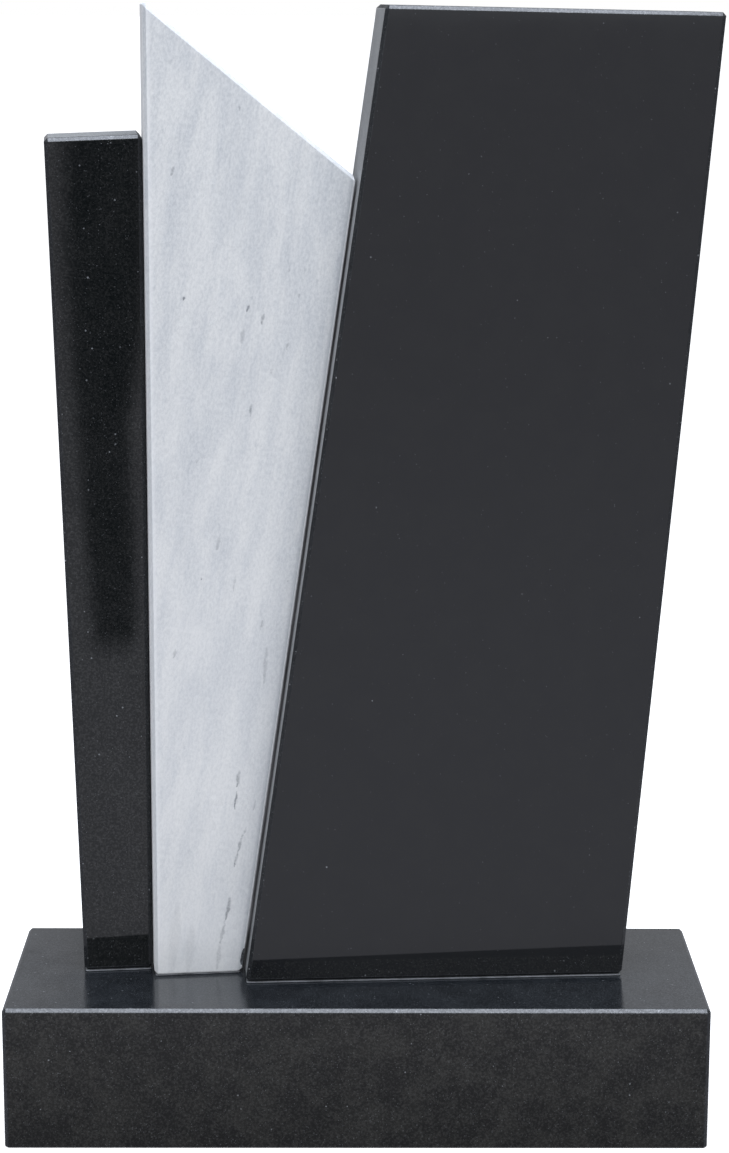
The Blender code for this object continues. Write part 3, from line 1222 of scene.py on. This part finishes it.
@dataclass
class Headstone:
    """The whole memorial: its finishes, its plinth, its three slabs and their beds."""

    marble_corner: tuple[float, float] = (-0.23475, -0.03372)
    marble_turn: float = math.radians(6.8)

    def veins(self) -> tuple[Vein, ...]:
        """Lists the marble's few dark streaks, low on its right and scattered higher up.

        Returns:
            The streaks.
        """
        # Right of and above the foot corner at each end, then the width and the strength.
        marks = (
            (0.0724, 0.004, 0.0771, 0.0400, 0.0040, 0.30),
            (0.0766, 0.0360, 0.0838, 0.0670, 0.0029, 0.48),
            (0.0832, 0.0640, 0.0900, 0.0980, 0.0029, 0.85),
            (0.0932, 0.129, 0.0984, 0.1490, 0.0028, 0.95),
            (0.0978, 0.1460, 0.1034, 0.1670, 0.0027, 0.75),
            (0.1024, 0.1640, 0.1088, 0.1760, 0.0024, 0.60),
            (0.0195, 0.004, 0.0273, 0.0838, 0.0100, 0.15),
            (0.0382, 0.004, 0.0445, 0.0588, 0.0090, 0.15),
            (0.0946, 0.1986, 0.0972, 0.2240, 0.0024, 1.00),
            (0.0972, 0.2240, 0.1010, 0.2500, 0.0030, 0.75),
            (0.1163, 0.1966, 0.1187, 0.211, 0.0026, 0.40),
            (0.1297, 0.3475, 0.1328, 0.3967, 0.0036, 0.36),
            (0.0260, 0.3785, 0.0296, 0.3924, 0.0026, 0.50),
            (0.1264, 0.4098, 0.1281, 0.4214, 0.0024, 0.50),
            (0.0947, 0.456, 0.0968, 0.4769, 0.0026, 0.34),
            (0.0766, 0.5039, 0.0795, 0.5223, 0.0036, 0.36),
            (0.0588, 0.469, 0.0592, 0.472, 0.0022, 0.80),
            (0.1566, 0.465, 0.1570, 0.468, 0.0024, 0.55),
            (0.0548, 0.604, 0.0552, 0.607, 0.0026, 0.40),
            (0.1148, 0.655, 0.1166, 0.6743, 0.0024, 0.75),
            (0.0418, 0.787, 0.0422, 0.790, 0.0024, 1.00),
            (0.1121, 0.773, 0.1155, 0.7852, 0.0026, 0.95),
            (0.1060, 0.738, 0.1085, 0.7580, 0.0036, 0.36),
            (0.1282, 0.7583, 0.1311, 0.7730, 0.0024, 0.70),
            (0.1561, 0.73, 0.1589, 0.7412, 0.0024, 0.52),
            (0.1390, 0.703, 0.1405, 0.7130, 0.0024, 0.42),
            (0.1697, 0.788, 0.1714, 0.7946, 0.0024, 0.48),
            (0.1586, 0.817, 0.1603, 0.8247, 0.0024, 0.40),
            (0.0300, 0.9244, 0.0328, 0.9353, 0.0026, 0.55),
            (0.1046, 0.9935, 0.1063, 1.0011, 0.0024, 0.55),
        )
        return tuple(Vein((x0, z0), (x1, z1), width, strength)
                     for x0, z0, x1, z1, width, strength in marks)

    def build(self, frame: dict[str, Any]) -> None:
        """Makes every piece in order and reports it.

        Args:
            frame: The loaded CAD frame, with its nodes by name.
        """
        groups = Groups(crystal_group(), polish_group(), streak_group())
        log.info("shader groups: %s, %s, %s", groups.crystals.name, groups.polish.name,
                 groups.streak.name)
        granite = [finish.build(groups) for finish in (
            GraniteFinish("polished_granite"),
            GraniteFinish("granite_edge", gloss=0.13, haze=0.05, share=0.12, texture=0.5,
                          fleck=(0.32, 0.33, 0.345), ground=(0.0105, 0.0120, 0.0140),
                          grain=(0.0300, 0.0325, 0.0350)),
            GraniteFinish("honed_granite", gloss=0.42, haze=0.12, relief=0.00006,
                          ground=(0.018, 0.020, 0.022), grain=(0.036, 0.038, 0.041)),
            # Painted reflection: slab sides and tops get a mid-grey colour standing in for what
            # polished black granite would mirror; the rough gloss is their honed finish.
            GraniteFinish("honed_granite_side_painted_reflection", gloss=0.34, haze=0.08, relief=0.00004,
                          ground=(0.190, 0.198, 0.202), grain=(0.310, 0.318, 0.322)))]
        calm = [GraniteFinish("calm_polished_granite", share=0.005, texture=0.14, sparkle=0.0,
                              clouds=0.15, ground=(0.0060, 0.0070, 0.0088),
                              lively_below=0.194).build(groups),
                *granite[1:]]
        block = [
            GraniteFinish("plinth_granite", ground=(0.0022, 0.0024, 0.0018), share=0.06,
                          grain=(0.0195, 0.0192, 0.0162), clouds=0.80, gloss=0.09,
                          haze=0.05, texture=0.80, fleck=(0.22, 0.23, 0.24)).build(groups),
            granite[1], granite[2],
            GraniteFinish("plinth_top_granite", ground=(0.0072, 0.0090, 0.0112), share=0.09,
                          grain=(0.0240, 0.0275, 0.0320), clouds=0.5, gloss=0.15, haze=0.07,
                          index=1.8, sparkle=0.3).build(groups),
        ]
        # The marble's edge and side zones are lightened by painted light; its face and rear are
        # not.
        marble = [
            MarbleFinish(f"white_marble_{zone}", self.marble_corner, self.marble_turn,
                         **looks).build(groups)
            for zone, looks in (("face", {"veins": self.veins()}),
                                ("edge", {"painted_light_lift": 0.30, "gloss": 0.30}),
                                ("rear", {"gloss": 0.42}),
                                ("side", {"painted_light_lift": 0.80, "gloss": 0.30}))]
        # Painted shade: the break is coloured dark grey for the shaded chip beside the black
        # slab, with light specks of its own grain.
        marble.append(GrittyFinish(
            "broken_marble_painted_shade", light=(0.17, 0.18, 0.19), dark=(0.04, 0.045, 0.05),
            speck=(0.9, 0.92, 0.94), specks=0.2, share=0.6, per_metre=900.0,
            patches=(260.0, 3.0, 0.5), spread=(0.40, 0.62), depth=0.8, relief=0.0004,
            rough=0.65).build(groups))
        compound = GrittyFinish(
            "setting_compound_wiped", light=(0.25, 0.262, 0.278), dark=(0.10, 0.105, 0.11),
            speck=(0.55, 0.56, 0.58), specks=0.35, share=0.5, per_metre=1500.0,
            patches=(34.0, 4.0, 0.6), spread=(0.42, 0.66), depth=0.75, relief=0.00015,
            rough=0.6).build(groups)
        Plinth(block).build()
        right_lean = math.tan(math.radians(8.10))
        slabs = [
            Slab("left_granite_slab", "left_stone", "left_setting_bed", "black_granite",
                 foot=0.0792, height=0.9630, thickness=0.100, corner=(-0.31755, -0.01932),
                 turn=math.radians(6.0), left_slope=math.tan(math.radians(-1.665)),
                 right_slope=0.0005 / 0.9630, top_fall=math.tan(math.radians(-2.05)),
                 finishes=granite),
            Slab("marble_slab", "marble_stone", "marble_setting_bed", "white_marble",
                 foot=0.1016, height=1.1115, thickness=0.060, corner=self.marble_corner,
                 turn=self.marble_turn, left_slope=0.0,
                 right_slope=right_lean / math.cos(math.radians(3.2)) + 0.0015 / 1.1115,
                 top_fall=math.tan(math.radians(39.3)), finishes=marble,
                 fine_arris=0.0015, chip=Chip()),
            Slab("right_granite_slab", "right_stone", "right_setting_bed", "black_granite",
                 foot=0.4390, height=1.1075, thickness=0.140, corner=(-0.12808, -0.05789),
                 turn=math.radians(3.6), left_slope=right_lean,
                 right_slope=math.tan(math.radians(4.72)),
                 top_fall=math.tan(math.radians(1.06)), finishes=calm),
        ]
        tree = bead_tree()
        for number, slab in enumerate(slabs):
            slab.build()
            SettingBead(slab, compound, seed=7 + number).build(tree)
            bed = frame["nodes"][slab.bed_node]
            for place in bed.material_slots:
                place.material = compound
            log.info("%s: carried over with its own compound", slab.bed_node)


def main() -> None:
    """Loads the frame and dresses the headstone."""
    logging.basicConfig(level=logging.INFO, format="%(name)s: %(message)s")
    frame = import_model()
    Studio().build()
    Headstone().build(frame)


if __name__ == "__main__":
    main()
